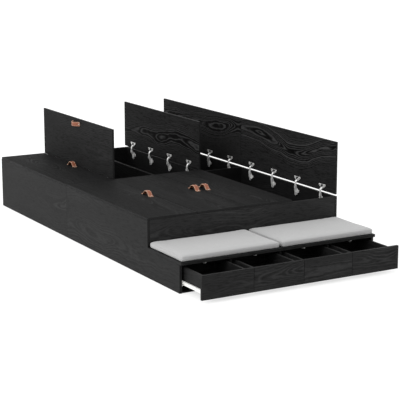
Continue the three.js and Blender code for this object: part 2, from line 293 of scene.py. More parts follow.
def metal(name, colour, rough, brushed=0.25, plate=1.0):
    t = Tree(name)
    tc = t.node("ShaderNodeTexCoord")
    fine = t.noise(t.vec("MULTIPLY", tc.outputs["Object"], (60, 900, 900)), detail=2.0)
    wear = t.noise(tc.outputs["Object"], scale=70, detail=3.0, rough=0.65)
    t.link(t.mix(t.math("MULTIPLY", wear, 0.5), colour, tuple(c * 0.72 for c in colour)), t.bsdf.inputs["Base Color"])
    t.bsdf.inputs["Metallic"].default_value = plate
    t.link(t.math("ADD", t.math("MULTIPLY", fine, brushed), rough - brushed / 2), t.bsdf.inputs["Roughness"])
    t.link(t.bump(fine, 0.00006, 0.4), t.bsdf.inputs["Normal"])
    return t.mat


def enamel(name, colour, rough=0.38):
    t = Tree(name)
    tc = t.node("ShaderNodeTexCoord")
    peel = t.noise(tc.outputs["Object"], scale=420, detail=2.0)
    scuff = t.noise(t.vec("MULTIPLY", tc.outputs["Object"], (40, 9, 40)), detail=4.0, rough=0.7)
    t.link(t.mix(t.ramp(scuff, [(0.5, (0, 0, 0)), (0.78, (1, 1, 1))]), colour, tuple(c * 0.84 for c in colour)),
           t.bsdf.inputs["Base Color"])
    t.link(t.math("ADD", t.math("MULTIPLY", scuff, 0.2), rough - 0.1), t.bsdf.inputs["Roughness"])
    t.link(t.bump(peel, 0.00008, 0.5), t.bsdf.inputs["Normal"])
    return t.mat


def plastic(name, colour, rough=0.5):
    t = Tree(name)
    tc = t.node("ShaderNodeTexCoord")
    spark = t.noise(tc.outputs["Object"], scale=1400, detail=2.0)
    t.link(t.mix(spark, tuple(c * 0.9 for c in colour), tuple(min(1, c * 1.08) for c in colour)), t.bsdf.inputs["Base Color"])
    t.link(t.math("ADD", t.math("MULTIPLY", spark, 0.14), rough - 0.07), t.bsdf.inputs["Roughness"])
    t.link(t.bump(spark, 0.00005, 0.5), t.bsdf.inputs["Normal"])
    return t.mat


def leather(name, base=(0.240, 0.072, 0.033), worn=(0.345, 0.118, 0.062)):
    t = Tree(name)
    tc = t.node("ShaderNodeTexCoord")
    cells = t.node("ShaderNodeTexVoronoi", feature="DISTANCE_TO_EDGE")
    t.link(tc.outputs["Object"], cells.inputs["Vector"])
    cells.inputs["Scale"].default_value = 620
    cloud = t.noise(tc.outputs["Object"], scale=55, detail=3.0, rough=0.6)
    fine = t.noise(tc.outputs["Object"], scale=900, detail=2.0)
    pebble = t.ramp(cells.outputs["Distance"], [(0.0, (0, 0, 0)), (0.25, (1, 1, 1))])
    colour = t.mix(cloud, base, worn)
    colour = t.mix(t.math("MULTIPLY", t.math("SUBTRACT", 1.0, pebble), 0.45), colour, tuple(c * 0.55 for c in base))
    t.link(colour, t.bsdf.inputs["Base Color"])
    t.link(t.math("ADD", t.math("MULTIPLY", cloud, 0.2), 0.42), t.bsdf.inputs["Roughness"])
    t.bsdf.inputs["Specular IOR Level"].default_value = 0.4
    height = t.math("ADD", t.math("MULTIPLY", pebble, 0.7), t.math("MULTIPLY", fine, 0.3))
    t.link(t.bump(height, 0.0002, 0.6), t.bsdf.inputs["Normal"])
    return t.mat


def cut_edge(name, colour=(0.46, 0.27, 0.18)):
    """The raw edge of vegetable-tanned hide, pale and fibrous."""
    t = Tree(name)
    tc = t.node("ShaderNodeTexCoord")
    fibres = t.noise(t.vec("MULTIPLY", tc.outputs["Object"], (700, 160, 700)), detail=3.0, rough=0.7)
    t.link(t.mix(fibres, tuple(c * 0.7 for c in colour), tuple(min(1, c * 1.12) for c in colour)), t.bsdf.inputs["Base Color"])
    t.bsdf.inputs["Roughness"].default_value = 0.75
    t.link(t.bump(fibres, 0.0002, 0.6), t.bsdf.inputs["Normal"])
    return t.mat


def weave(name, colour=(0.5, 0.5, 0.5), pitch=0.0016):
    """Plain-woven upholstery cloth: two crossing sets of yarn, slubs, a soft nap."""
    t = Tree(name)
    tc = t.node("ShaderNodeTexCoord")
    sep = t.node("ShaderNodeSeparateXYZ")
    t.link(tc.outputs["Object"], sep.inputs[0])
    k = math.pi / pitch
    wob = t.noise(tc.outputs["Object"], scale=90, detail=2.0)
    sx = t.math("SINE", t.math("ADD", t.math("MULTIPLY", sep.outputs[0], k), t.math("MULTIPLY", wob, 1.5)))
    sy = t.math("SINE", t.math("ADD", t.math("MULTIPLY", sep.outputs[1], k), t.math("MULTIPLY", wob, 1.5)))
    sz = t.math("SINE", t.math("MULTIPLY", sep.outputs[2], k))
    cross = t.math("MULTIPLY", sx, sy)
    tri = t.math("MULTIPLY", t.math("ADD", cross, t.math("MULTIPLY", sz, t.math("ADD", sx, sy))), 0.4)
    yarn = t.math("ADD", tri, 0.5, clamp=True)
    slub_x = t.noise(t.vec("MULTIPLY", tc.outputs["Object"], (45, 800, 800)), detail=2.0)
    slub_y = t.noise(t.vec("MULTIPLY", tc.outputs["Object"], (800, 45, 800)), detail=2.0)
    slub = t.math("MULTIPLY", t.math("ADD", slub_x, slub_y), 0.5)
    cloud = t.noise(tc.outputs["Object"], scale=9, detail=3.0)
    lum = t.math("ADD", t.math("MULTIPLY", yarn, 0.35), t.math("MULTIPLY", slub, 0.5))
    lum = t.math("ADD", lum, t.math("MULTIPLY", cloud, 0.15), clamp=True)
    t.link(t.mix(lum, tuple(c * 0.82 for c in colour), tuple(min(1, c * 1.15) for c in colour)), t.bsdf.inputs["Base Color"])
    t.bsdf.inputs["Roughness"].default_value = 0.92
    t.bsdf.inputs["Specular IOR Level"].default_value = 0.2
    t.bsdf.inputs["Sheen Weight"].default_value = 0.25
    t.bsdf.inputs["Sheen Roughness"].default_value = 0.5
    height = t.math("ADD", t.math("MULTIPLY", yarn, 0.7), t.math("MULTIPLY", slub, 0.5))
    t.link(t.bump(height, 0.0003, 0.6), t.bsdf.inputs["Normal"])
    return t.mat


def floor_paint():
    t = Tree("floor_pale")
    tc = t.node("ShaderNodeTexCoord")
    n = t.noise(tc.outputs["Object"], scale=3.0, detail=2.0)
    t.link(t.mix(n, (0.39, 0.39, 0.39), (0.41, 0.41, 0.41)), t.bsdf.inputs["Base Color"])
    t.bsdf.inputs["Roughness"].default_value = 0.9
    t.bsdf.inputs["Specular IOR Level"].default_value = 0.1
    # a backlit studio floor, so that the bed throws next to no shadow on it
    t.bsdf.inputs["Emission Color"].default_value = (1, 1, 1, 1)
    t.bsdf.inputs["Emission Strength"].default_value = 0.68
    return t.mat


FACE = dict(dark=0.0025, light=0.028, figure=0.10, spec=0.13, rough=0.62, plain=0.325, dash=0.22, cloudy=0.07, fibres=0.42, early_dark=0.5)   # outer faces
NEAR_LID_PAINTED_LIGHT = dict(dark=0.0024, light=0.032, figure=0.22, spec=0.060, rough=0.70, plain=0.37, dash=0.22, cloudy=0.14)    # the raised lid nearest the camera: a lighter copy of the lid-face veneer, painted light for the key light falling on its face
TOP = dict(dark=0.0022, light=0.027, figure=0.36, spec=0.045, rough=0.72, plain=0.29, dash=0.22)    # lid faces
FRONT = dict(dark=0.0040, light=0.036, figure=0.34, spec=0.12, rough=0.62, plain=0.39, dash=0.20, spacing=0.007)
DRAWER = dict(dark=0.0040, light=0.032, figure=0.36, spec=0.10, rough=0.62, plain=0.25, dash=0.20, spacing=0.0065)  # faces at the foot
INNER = dict(dark=0.0010, light=0.041, figure=0.60, spec=0.03, rough=0.68, plain=0.37, dash=0.16, spacing=0.0060, early_dark=0.55, band=(0.070, 0.108))  # lid undersides
BARE = dict(dark=0.003, light=0.014, figure=0.5, spec=0.06, rough=0.65)                            # inside the bays

M_STEEL = metal("nickel_plate", (0.95, 0.95, 0.94), 0.46, plate=0.62)
# a dark copy of the nickel plating for the hinge cups: painted shade in their hollows
M_NICKEL_PAINTED_SHADE = metal("nickel_painted_shade", (0.16, 0.16, 0.16), 0.5)
M_SCREW = metal("zinc_screw", (0.62, 0.61, 0.58), 0.38)
M_RUNNER = enamel("white_epoxy", (0.84, 0.84, 0.82))
M_ROLLER = plastic("white_nylon", (0.80, 0.80, 0.77), 0.35)
M_LEATHER = leather("tan_leather")
M_EDGE = cut_edge("leather_cut_edge")
M_THREAD = plastic("linen_thread", (0.72, 0.60, 0.47), 0.8)
M_FABRIC = weave("grey_weave", (0.362, 0.362, 0.362))
M_PIPING = weave("grey_weave_seam", (0.335, 0.335, 0.335), 0.0012)
M_CATCH = plastic("catch_housing", (0.25, 0.25, 0.25), 0.55)
M_TIP = plastic("catch_tip", (0.72, 0.72, 0.70), 0.4)


# ------------------------------------------------------------------ mesh helpers
def new_object(name, bm, mats, smooth_angle=None):
    me = bpy.data.meshes.new(name)
    bm.normal_update()
    bm.to_mesh(me)
    bm.free()
    for m in mats:
        me.materials.append(m)
    o = bpy.data.objects.new(name, me)
    scene.collection.objects.link(o)
    if smooth_angle is not None:
        me.shade_smooth()
        me.set_sharp_from_angle(angle=math.radians(smooth_angle))
        # square faces keep their own normals, so that the eased arrises don't shade them
        for p in me.polygons:
            if max(abs(c) for c in p.normal) > 0.9999:
                p.use_smooth = False
    return o


def add_box(bm, lo, hi, mat=0, bevel=0.0, segments=2, matrix=None):
    made = bmesh.ops.create_cube(bm, size=1.0)
    verts = made["verts"]
    lo, hi = Vector(lo), Vector(hi)
    for v in verts:
        v.co = Vector(((v.co.x + 0.5) * (hi.x - lo.x) + lo.x,
                       (v.co.y + 0.5) * (hi.y - lo.y) + lo.y,
                       (v.co.z + 0.5) * (hi.z - lo.z) + lo.z))
    faces = list({f for v in verts for f in v.link_faces})
    for f in faces:
        f.material_index = mat
    if bevel:
        edges = list({e for v in verts for e in v.link_edges})
        out = bmesh.ops.bevel(bm, geom=edges, offset=bevel, segments=segments, affect="EDGES", profile=0.5)
        for f in out["faces"]:
            f.material_index = mat
        verts = list({v for f in out["faces"] for v in f.verts} | {v for v in verts if v.is_valid})
    if matrix is not None:
        bmesh.ops.transform(bm, matrix=matrix, verts=[v for v in verts if v.is_valid])
    return verts


def add_prism(bm, outline, depth, matrix, mat=0, bevel=0.0, segments=2):
    """outline is a list of (x, y) anticlockwise, swept from z 0 to depth, then placed by matrix."""
    n = len(outline)
    area = sum(outline[i][0] * outline[(i + 1) % n][1] - outline[(i + 1) % n][0] * outline[i][1] for i in range(n))
    if area < 0:
        outline = outline[::-1]
    low = [bm.verts.new((x, y, 0)) for x, y in outline]
    high = [bm.verts.new((x, y, depth)) for x, y in outline]
    faces = [bm.faces.new(low[::-1]), bm.faces.new(high)]
    for i in range(n):
        j = (i + 1) % n
        faces.append(bm.faces.new((low[i], low[j], high[j], high[i])))
    for f in faces:
        f.material_index = mat
    verts = low + high
    if bevel:
        rim = [e for e in {e for f in faces[:2] for e in f.edges}]
        out = bmesh.ops.bevel(bm, geom=rim, offset=bevel, segments=segments, affect="EDGES", profile=0.5)
        for f in out["faces"]:
            f.material_index = mat
        keep = {v for f in out["faces"] for v in f.verts} | {v for v in verts if v.is_valid}
        for f in faces:
            if f.is_valid:
                keep |= set(f.verts)
        verts = list(keep)
    bmesh.ops.transform(bm, matrix=matrix, verts=verts)
    if matrix.determinant() < 0:
        bmesh.ops.reverse_faces(bm, faces=list({f for v in verts for f in v.link_faces}))
    return verts


def add_lathe(bm, profile, segments, matrix, mat=0):
    """profile is a list of (radius, height) from axis to axis, turned about z."""
    rings = []
    for r, z in profile:
        if r < 1e-9:
            rings.append([bm.verts.new((0, 0, z))])
        else:
            rings.append([bm.verts.new((r * math.cos(2 * math.pi * k / segments), r * math.sin(2 * math.pi * k / segments), z))
                          for k in range(segments)])
    made = []
    for a, b in zip(rings, rings[1:]):
        for k in range(segments):
            j = (k + 1) % segments
            if len(a) == 1 and len(b) == 1:
                continue
            if len(a) == 1:
                made.append(bm.faces.new((a[0], b[j], b[k])))
            elif len(b) == 1:
                made.append(bm.faces.new((a[k], a[j], b[0])))
            else:
                made.append(bm.faces.new((a[k], a[j], b[j], b[k])))
    verts = [v for ring in rings for v in ring]
    # make the faces point out
    volume = 0.0
    for f in made:
        c = f.verts
        for i in range(1, len(c) - 1):
            volume += c[0].co.dot(c[i].co.cross(c[i + 1].co))
    if volume < 0:
        bmesh.ops.reverse_faces(bm, faces=made)
    for f in made:
        f.material_index = mat
        f.smooth = True
    bmesh.ops.transform(bm, matrix=matrix, verts=verts)
    if matrix.determinant() < 0:
        bmesh.ops.reverse_faces(bm, faces=made)
    return verts


def frame_matrix(origin, x, y, z):
    m = Matrix.Identity(4)
    for i, axis in enumerate((x, y, z)):
        for j in range(3):
            m[j][i] = axis[j]
    m.translation = Vector(origin)
    return m


def add_screw(bm, matrix, r=0.0038, h=0.0014, mat=0):
    """Countersunk-dome head with a round recess in its crown, standing along z."""
    add_lathe(bm, [(0, 0), (r * 0.98, 0), (r, h * 0.25), (r * 0.9, h * 0.6), (r * 0.62, h * 0.92), (r * 0.30, h), (r * 0.26, h * 0.4), (0, h * 0.35)],
              14, matrix, mat)


def board(node, mats, bevel=0.0009, index=None, name=None):
    """A board with the CAD node's exact shape, its arrises eased and its faces given their own veneers."""
    src = NODES[node]
    bm = bmesh.new()
    bm.from_mesh(src.data)
    bmesh.ops.remove_doubles(bm, verts=bm.verts, dist=2e-5)
    bmesh.ops.dissolve_limit(bm, angle_limit=math.radians(1), verts=bm.verts, edges=bm.edges)
    sharp = [e for e in bm.edges if len(e.link_faces) == 2 and e.calc_face_angle(0) > math.radians(50)]
    bmesh.ops.bevel(bm, geom=sharp, offset=bevel, segments=2, affect="EDGES", profile=0.5, clamp_overlap=True)
    bm.normal_update()
    if index is not None:
        for f in bm.faces:
            f.material_index = index(f)
    o = new_object(name or node + "_veneered", bm, mats, 40)
    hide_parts(node)
    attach(o, src["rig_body"])
    return o


# ------------------------------------------------------------------ carcass boards
wood_mats = {}


def veneer(node, kind, along, seed, at=0.5, depth=0.055, wander=0.05):
    """A veneer for one board: its pith line lies at a fraction of the board's width, beside its face."""
    lo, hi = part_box(node)
    across = [k for k in (0, 1, 2) if k != "XYZ".index(along)]
    size = [hi[k] - lo[k] for k in across]
    wide = 0 if size[0] >= size[1] else 1
    pith = [0.0, 0.0]
    pith[wide] = lo[across[wide]] + at * size[wide]
    pith[1 - wide] = (lo[across[1 - wide]] + hi[across[1 - wide]]) / 2 + depth
    spec = {"face": FACE, "near": NEAR_LID_PAINTED_LIGHT, "top": TOP, "front": FRONT, "drawer": DRAWER, "inner": INNER, "bare": BARE}[kind]
    return wood(f"wood_{kind}_{along}_{node}", along, seed, pith, wander=wander, **spec)


for k, (node, inner) in enumerate((("side_left_head", 1), ("side_left_foot", 1), ("side_right_head", -1), ("side_right_foot", -1))):
    board(node, [veneer(node, "face", "Y", 1.0 + 0.61 * k, (0.62, 0.35, 0.4, 0.6)[k]), veneer(node, "bare", "Y", 0.3 * k)],
          index=lambda f, inner=inner: 1 if f.normal.x * inner > 0.3 else 0)
board("head_panel", [veneer("head_panel", "face", "X", 3.3), veneer("head_panel", "bare", "X", 0.4)],
      index=lambda f: 1 if f.normal.y < -0.3 else 0)
board("foot_panel", [veneer("foot_panel", "front", "X", 4.2, 0.7), veneer("foot_panel", "bare", "X", 0.5)],
      index=lambda f: 1 if f.normal.y > 0.3 else 0)
board("cross_panel", [veneer("cross_panel", "bare", "X", 0.9)])
for k, node in enumerate(("partition_left", "partition_middle", "partition_right", "base_panel_head", "base_panel_foot",
                          "bench_base", "bench_partition_left", "bench_partition_middle", "bench_partition_right")):
    board(node, [veneer(node, "bare", "Y", 1.1 + 0.6 * k)])
board("bench_top", [veneer("bench_top", "face", "X", 5.1)])


# ------------------------------------------------------------------ lids
COLUMNS = {"left": 1, "inner_left": 1, "inner_right": -1, "right": -1}
LIDS = []
for ci, (column, direction) in enumerate(COLUMNS.items()):
    for pi, part in enumerate(("foot", "head")):
        body = f"lid_{column}_{part}"
        j = JOINTS[body + "_hinge"]
        raised = j["range_deg"][1] < 1
        lo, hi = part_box(body + "_panel")
        pivot = Vector(j["pos_m"])
        # u runs from the hinge to the free edge, w up from the lid's upper face
        if raised:
            u_axis, w_axis = Vector((0, 0, 1)), Vector((-direction, 0, 0))
        else:
            u_axis, w_axis = Vector((direction, 0, 0)), Vector((0, 0, 1))
        LIDS.append(dict(body=body, column=column, part=part, dir=direction, raised=raised,
                         pivot=pivot, u=u_axis, w=w_axis, seed=6.0 + ci * 1.37 + pi * 0.61))

# where the figure lies across each underside, from the hinge (0) to the free edge (1)
FIGURE = {"lid_right_foot": (12.35, 0.80, 0.042), "lid_right_head": (9.2, 0.80, 0.045), "lid_inner_right_head": (10.4, 0.45, 0.048)}
for lid in LIDS:
    wa = lid["w"].copy()
    node = lid["body"] + "_panel"
    seed, at, depth = FIGURE.get(lid["body"], (lid["seed"] + 0.7, 0.5, 0.05))
    flip = not lid["raised"] and lid["dir"] < 0
    # the raised lid nearest the camera takes the lighter copy of the lid-face veneer, which is painted light
    lid["panel"] = board(node, [veneer(node, "near" if lid["body"] == "lid_inner_left_head" else "top", "Y", lid["seed"], 0.45 if lid["part"] == "head" else 0.6),
                                veneer(node, "inner", "Y", seed, 1 - at if flip else at, depth),
                                veneer(node, "face", "Y", lid["seed"] + 0.3)],
                         index=lambda f, wa=wa: 1 if f.normal.dot(wa) < -0.3 else 0 if f.normal.dot(wa) > 0.3 else 2)


def lid_matrix(lid, u, v, w):
    """A frame at a lid's point, x along u, y along v (the bed's length), z along w."""
    o = lid["pivot"] + lid["u"] * (u * MM) + Vector((0, v * MM, 0)) + lid["w"] * (w * MM)
    return frame_matrix(o, lid["u"], Vector((0, 1, 0)), lid["w"])


LID_L = (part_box("lid_left_foot_panel")[1].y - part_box("lid_left_foot_panel")[0].y) / MM
HINGE_V = [((k + 0.5) / 4 - 0.5) * LID_L for k in range(4)]
LID_UNDER = -11.1
LID_TOP = 0.9
LID_NEAR = -0.4
PIVOT_IN = 1.9
CUP_U = LID_NEAR + 22

# the V-shaped flange of a hinge cup, seen from its open side: x away from the hinged edge, y along the bed
FLANGE = [(-7, -9), (-7, 9), (-1, 17), (1.5, 24), (5, 29.5), (9.5, 31.5), (14.5, 31), (17.2, 27.5), (17.4, 21),
          (15.8, 13), (16.2, 6), (17.0, 0), (16.2, -6), (15.8, -13), (17.4, -21), (17.2, -27.5), (14.5, -31), (9.5, -31.5),
          (5, -29.5), (1.5, -24), (-1, -17)]


def hinge_cups(lid):
    bm = bmesh.new()
    for v in HINGE_V:
        # local frame: x along u, z out of the underside
        o = lid["pivot"] + lid["u"] * (CUP_U * MM) + Vector((0, v * MM, 0)) + lid["w"] * (LID_UNDER * MM)
        z = -lid["w"]
        x = lid["u"]
        m = frame_matrix(o, x, z.cross(x), z)
        # the cup sunk into the lid, in the dark copy of the nickel plating: painted shade for its hollow
        add_lathe(bm, [(0, -9.4 * MM), (15.0 * MM, -9.4 * MM), (16.9 * MM, -8.2 * MM), (17.0 * MM, -0.3 * MM),
                       (17.0 * MM, 0.15 * MM), (15.9 * MM, 0.15 * MM), (15.6 * MM, -0.4 * MM), (15.2 * MM, -7.6 * MM),
                       (13.6 * MM, -8.6 * MM), (0, -8.6 * MM)], 28, m, 2)
        ring = [(x_ * MM, y_ * MM) for x_, y_ in FLANGE]
        # flange plate with the cup's mouth left open
        inner = []
        for x_, y_ in FLANGE:
            reach = min(15.0, math.hypot(x_, y_) - 1.4) / math.hypot(x_, y_)
            inner.append((x_ * reach * MM, y_ * reach * MM))
        outer_sorted = sorted(ring, key=lambda p: math.atan2(p[1], p[0]))
        inner_sorted = sorted(inner, key=lambda p: math.atan2(p[1], p[0]))
        layers = []
        for zz in (0.2 * MM, 1.25 * MM):
            layers.append(([bm.verts.new(m @ Vector((px, py, zz))) for px, py in outer_sorted],
                           [bm.verts.new(m @ Vector((px, py, zz))) for px, py in inner_sorted]))
        n = len(outer_sorted)
        for k in range(n):
            j = (k + 1) % n
            (ob, ib), (ot, it) = layers
            bm.faces.new((ot[k], ot[j], it[j], it[k]))
            bm.faces.new((ob[j], ob[k], ib[k], ib[j]))
            bm.faces.new((ob[k], ob[j], ot[j], ot[k]))
            bm.faces.new((ib[j], ib[k], it[k], it[j]))
        for s in (-1, 1):
            ms = m @ Matrix.Translation((10.5 * MM, s * 25.5 * MM, 1.2 * MM))
            add_screw(bm, ms, 3.9 * MM, 1.3 * MM, 1)
        # pivot pins of the links, across the cup
        for px, pz in ((-6.0, -3.2), (1.5, -5.2)):
            mp = m @ Matrix.Translation((px * MM, 0, pz * MM)) @ Matrix.Rotation(math.radians(90), 4, "X")
            add_lathe(bm, [(0, -11 * MM), (1.5 * MM, -11 * MM), (1.5 * MM, 11 * MM), (0, 11 * MM)], 10, mp, 0)
    bmesh.ops.recalc_face_normals(bm, faces=bm.faces)
    o = new_object(lid["body"] + "_hinge_cup_set", bm, [M_STEEL, M_SCREW, M_NICKEL_PAINTED_SHADE], 35)
    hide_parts(lid["body"] + "_hinge_cups")
    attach(o, lid["body"])
    return o


def hinge_links(lid):
    """The folding links between the fixed arms and the cups, shaped once for the lid's rest pose: bent for a raised
    lid, straight for a closed one, and left tied to no body.
    """
    d = lid["dir"]
    a = (23.1, -13.6)
    b = (17.6, -8.6)
    if lid["raised"]:
        pts = []
        for k in range(15):
            t = k / 14
            w = t * t * (3 - 2 * t)
            r = 1 - t
            p = (a[0] + (b[0] - a[0]) * t, a[1] + (b[1] - a[1]) * t)
            ang = math.radians(90) * w
            pts.append((p[0] * math.cos(ang) - p[1] * math.sin(ang), p[0] * math.sin(ang) + p[1] * math.cos(ang)))
    else:
        pts = [(a[0] + (b[0] - a[0]) * k / 14, a[1] + (b[1] - a[1]) * k / 14) for k in range(15)]
    bm = bmesh.new()
    for v in HINGE_V:
        for s, half, thick in ((-4.6, 1.1, 2.6), (4.6, 1.1, 2.6), (0.0, 3.0, 1.3)):
            prev = None
            for i, (pu, pw) in enumerate(pts):
                q0 = pts[max(0, i - 1)]
                q1 = pts[min(len(pts) - 1, i + 1)]
                tu, tw = q1[0] - q0[0], q1[1] - q0[1]
                ln = math.hypot(tu, tw)
                nu, nw = -tw / ln, tu / ln
                ring = []
                for c, sgn in ((s - half, -1), (s + half, -1), (s + half, 1), (s - half, 1)):
                    uu, ww = pu + nu * thick * sgn, pw + nw * thick * sgn
                    co = lid["pivot"] + Vector((d * uu * MM, (v + c) * MM, ww * MM))
                    ring.append(bm.verts.new(co))
                if prev:
                    for k in range(4):
                        bm.faces.new((prev[k], prev[(k + 1) % 4], ring[(k + 1) % 4], ring[k]))
                else:
                    bm.faces.new(ring[::-1])
                prev = ring
            bm.faces.new(prev)
    bmesh.ops.recalc_face_normals(bm, faces=bm.faces)
    o = new_object(lid["body"] + "_hinge_links", bm, [M_STEEL], 40)
    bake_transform(o)
    return o


ARM_SETS = {
    "left_side": ("left", 15.0), "left_partition": ("inner_left", 7.5),
    "right_partition": ("inner_right", 7.5), "right_side": ("right", 15.0),
}


def hinge_arms(name, column, face):
    """Arms and plates; face is the board's inner face, and distances run inward from the hinge centre."""
    face -= PIVOT_IN
    bm = bmesh.new()
    for lid in [x for x in LIDS if x["column"] == column]:
        d = lid["dir"]
        P = lid["pivot"]
        top = -11.4
        for v in HINGE_V:
            def at(u, dv, w):
                return P + Vector((d * u * MM, (v + dv) * MM, w * MM))
            # mounting plate: cross shape lying on the board, x along the bed, y up, z off the board
            o = at(face + 0.3, 0, top - 36)
            m = frame_matrix(o, Vector((0, 1, 0)), Vector((0, 0, 1)), Vector((d, 0, 0)))
            cross = [(-24, -7), (-12, -7), (-8, -16), (8, -16), (12, -7), (24, -7), (24, 7), (12, 7), (8, 16), (-8, 16), (-12, 7), (-24, 7)]
            add_prism(bm, [(a * MM, b * MM) for a, b in cross], 2.2 * MM, m, 0, 0.4 * MM, 1)
            for s in (-1, 1):
                add_screw(bm, m @ Matrix.Translation((s * 18 * MM, 0, 2.2 * MM)), 3.6 * MM, 1.4 * MM, 1)
            # arm: pressed channel rising from the plate to the board's top edge
            prof = [(face + 2.2, top - 60), (face + 9.5, top - 60), (face + 11.5, top - 48), (face + 12.0, top - 36),
                    (28.6, top - 15.5), (28.6, top - 4.0), (25.1, top - 2.8), (18.6, top - 2.8), (max(face + 3.5, 14.6), top - 16), (face + 2.2, top - 22)]
            for s in (-1, 1):
                mw = frame_matrix(at(0, s * 5.6 - 0.6, 0), Vector((d, 0, 0)), Vector((0, 0, 1)), Vector((0, 1, 0)))
                add_prism(bm, [(a * MM, b * MM) for a, b in prof], 1.2 * MM, mw, 0, 0.25 * MM, 1)
            # web of the channel
            web = prof[1:6]
            for (u0, w0), (u1, w1) in zip(web, web[1:]):
                vv = [at(u0 - 1.0, -5.2, w0), at(u0 - 1.0, 5.2, w0), at(u1 - 1.0, 5.2, w1), at(u1 - 1.0, -5.2, w1)]
                vo = [at(u0, -5.2, w0), at(u0, 5.2, w0), at(u1, 5.2, w1), at(u1, -5.2, w1)]
                a = [bm.verts.new(c) for c in vv]
                b = [bm.verts.new(c) for c in vo]
                bm.faces.new(a)
                bm.faces.new(b[::-1])
                for k in range(4):
                    bm.faces.new((a[k], b[k], b[(k + 1) % 4], a[(k + 1) % 4]))
            # adjusting screws in the web, and the links' pins
            for du, dw in ((face + 11.6, top - 42), (face + 10.0, top - 54)):
                ms = frame_matrix(at(du, 0, dw), Vector((0, 1, 0)), Vector((0, 0, 1)), Vector((d, 0, 0)))
                add_screw(bm, ms, 2.9 * MM, 1.2 * MM, 1)
            for du, dw in ((23.1, top - 6.0), (25.1, top - 12.0)):
                mp = frame_matrix(at(du, 0, dw), Vector((0, 0, 1)), Vector((d, 0, 0)), Vector((0, 1, 0)))
                add_lathe(bm, [(0, -6.6 * MM), (1.4 * MM, -6.6 * MM), (1.4 * MM, 6.6 * MM), (0, 6.6 * MM)], 10, mp, 1)
    bmesh.ops.recalc_face_normals(bm, faces=bm.faces)
    o = new_object(f"hinge_arm_set_{name}", bm, [M_STEEL, M_SCREW], 35)
    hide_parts(f"hinge_arms_{name}")
    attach(o, "carcass")
    return o


def strap(lid):
    """A bowed leather pull: the hide's face, its pale cut edge, two rows of stitching and two screws."""
    bm = bmesh.new()
    half_w, t = 13.0 * MM, 3.2 * MM
    base = LID_TOP + 0.35

    def rise(v):
        k = min(1.0, max(0.0, (40 - abs(v)) / 30))
        return 23.0 * k * k * (3 - 2 * k)

    half = [3.5, 7, 10, 12.5, 15, 17.5, 20, 22.5, 25, 27.5, 30, 32.5, 35, 37.5, 40, 43, 46, 50, 53]
    stations = [-v for v in reversed(half)] + [0] + half
    u0 = LID_NEAR + 297 - 32

    def frame_at(v):
        dv = 0.4
        s = (rise(v + dv) - rise(v - dv)) / (2 * dv)
        n = math.hypot(1, s)
        return rise(v), Vector((0, 1 / n, s / n)), Vector((0, -s / n, 1 / n))

    M = lid_matrix(lid, u0, 0, base)
    # section: round-cornered flat, x across the strap, z through its thickness
    section = []
    r = 0.9 * MM
    for cx, cz, a0 in ((half_w - r, t - r, 0), (-half_w + r, t - r, 90), (-half_w + r, r, 180), (half_w - r, r, 270)):
        for k in range(4):
            a = math.radians(a0 + 30 * k)
            section.append((cx + r * math.cos(a), cz + r * math.sin(a)))
    # extra points across the two faces, so that the hide can be slightly cupped
    top = [(-half_w + r + (half_w - r) * 2 * k / 6, t) for k in range(5, 0, -1)]
    low = [(-half_w + r + (half_w - r) * 2 * k / 6, 0) for k in range(1, 6)]
    full = section[:4] + top + section[4:12] + low + section[12:]
    rings = []
    for v in stations:
        z, tangent, normal = frame_at(v)
        # the ends are cut round
        e = max(0.0, (abs(v) - 42) / 11)
        k = math.sqrt(max(0.0, 1 - (e * 0.86) ** 2)) if e > 0 else 1.0
        k = 1 - (1 - k) * 0.55
        ring = []
        for sx, sz in full:
            cup = -0.4 * MM * (sx / half_w) ** 2 * (1 if abs(v) < 30 else 0.3)
            p = Vector((sx * k, v * MM, (z) * MM)) + normal * (sz + (cup if abs(v) < 40 else 0))
            ring.append(bm.verts.new(M @ p))
        rings.append(ring)
    n = len(full)
    edge_ids = set(range(0, 3)) | set(range(n - 4, n)) | set(range(8, 16))
    for a, b in zip(rings, rings[1:]):
        for k in range(n):
            f = bm.faces.new((a[k], a[(k + 1) % n], b[(k + 1) % n], b[k]))
            mid = full[k][0] + full[(k + 1) % n][0]
            f.material_index = 1 if abs(mid / 2) > half_w - 0.95 * MM else 0
    for ring in (rings[0][::-1], rings[-1]):
        f = bm.faces.new(ring)
        f.material_index = 1
    bmesh.ops.recalc_face_normals(bm, faces=bm.faces)
    # stitches
    for sx in (-10.2, 10.2):
        v = -41.6
        while v <= 41.7:
            z, tangent, normal = frame_at(v)
            side = tangent.cross(normal)
            c = Vector((sx * MM, v * MM, z * MM)) + normal * (t + 0.05 * MM)
            m = M @ frame_matrix(c, side, tangent, normal)
            made = add_lathe(bm, [(0, -2.0 * MM), (0.42 * MM, -1.6 * MM), (0.55 * MM, 0), (0.42 * MM, 1.6 * MM), (0, 2.0 * MM)], 6,
                             m @ Matrix.Rotation(math.radians(-90), 4, "X"), 2)
            v += 5.2
    for v in (-46.8, 46.8):
        m = M @ Matrix.Translation((0, v * MM, t))
        add_lathe(bm, [(0, 0), (4.6 * MM, 0), (4.8 * MM, 0.5 * MM), (4.3 * MM, 0.9 * MM), (3.8 * MM, 0.7 * MM), (0, 0.7 * MM)], 20, m, 3)
        add_screw(bm, m @ Matrix.Translation((0, 0, 0.7 * MM)), 3.3 * MM, 1.3 * MM, 3)
    o = new_object(lid["body"] + "_leather_strap", bm, [M_LEATHER, M_EDGE, M_THREAD, M_SCREW], 50)
    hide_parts(lid["body"] + "_strap")
    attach(o, lid["body"])
    return o


for lid in LIDS:
    hinge_cups(lid)
    hinge_links(lid)
    strap(lid)
for name, (column, face) in ARM_SETS.items():
    hinge_arms(name, column, face)


